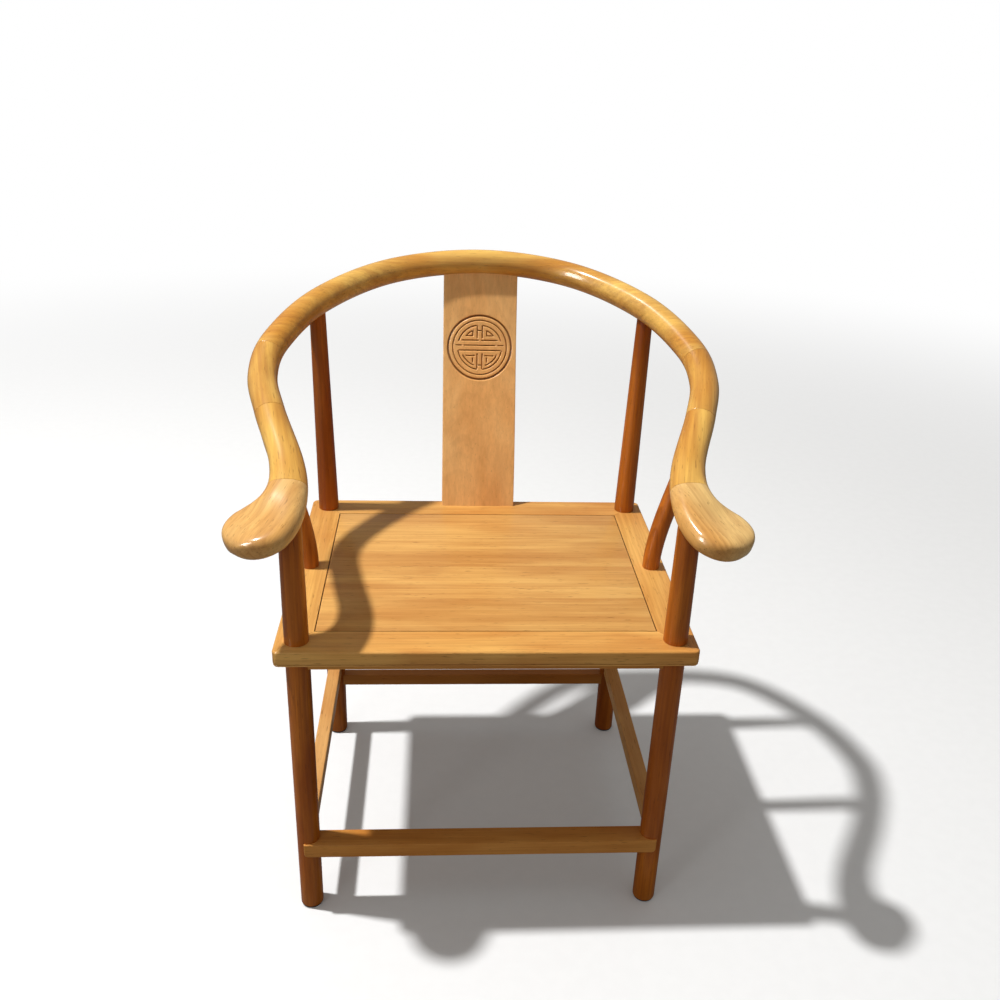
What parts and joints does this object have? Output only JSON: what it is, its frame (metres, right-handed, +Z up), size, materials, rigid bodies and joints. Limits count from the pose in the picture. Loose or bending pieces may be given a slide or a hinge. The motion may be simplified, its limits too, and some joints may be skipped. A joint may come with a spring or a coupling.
{
  "type": "round-back armchair",
  "caption": "Varnished wooden armchair with a horseshoe handrail on round posts, a carved back splat, a flat framed seat, a footrest and low stretchers.",
  "frame": {"origin": "on the floor under the middle of the whole chair; the seat's middle is 47.5 mm in front of it", "axes": "+Z up, -Y towards the chair's front, +X towards the sitter's left"},
  "size_m": [0.7026, 0.6464, 0.9031],
  "materials": {
    "rail_wood": "satin varnish",
    "pin_wood": "oiled",
    "splat_wood": "satin varnish",
    "post_wood": "satin varnish",
    "frame_wood": "satin varnish",
    "panel_wood": "satin varnish",
    "batten_wood": "oiled",
    "stretcher_wood": "satin varnish",
    "pad_plastic": "matte"
  },
  "bodies": {
    "root": {"crest_rail": "rail_wood", "left_elbow_rail": "rail_wood", "right_elbow_rail": "rail_wood", "left_arm_rail": "rail_wood", "right_arm_rail": "rail_wood", "left_hand_rail": "rail_wood", "right_hand_rail": "rail_wood", "rail_lock_pins": "pin_wood", "back_splat": "splat_wood", "left_front_leg": "post_wood", "right_front_leg": "post_wood", "left_rear_leg": "post_wood", "right_rear_leg": "post_wood", "left_side_post": "post_wood", "right_side_post": "post_wood", "frame_front": "frame_wood", "frame_back": "frame_wood", "frame_left": "frame_wood", "frame_right": "frame_wood", "seat_panel": "panel_wood", "left_batten": "batten_wood", "right_batten": "batten_wood", "front_strip": "stretcher_wood", "back_strip": "stretcher_wood", "left_strip": "stretcher_wood", "right_strip": "stretcher_wood", "footrest": "stretcher_wood", "rear_stretcher": "stretcher_wood", "left_stretcher": "stretcher_wood", "right_stretcher": "stretcher_wood", "left_front_pad": "pad_plastic", "right_front_pad": "pad_plastic", "left_rear_pad": "pad_plastic", "right_rear_pad": "pad_plastic"}
  },
  "joints": []
}
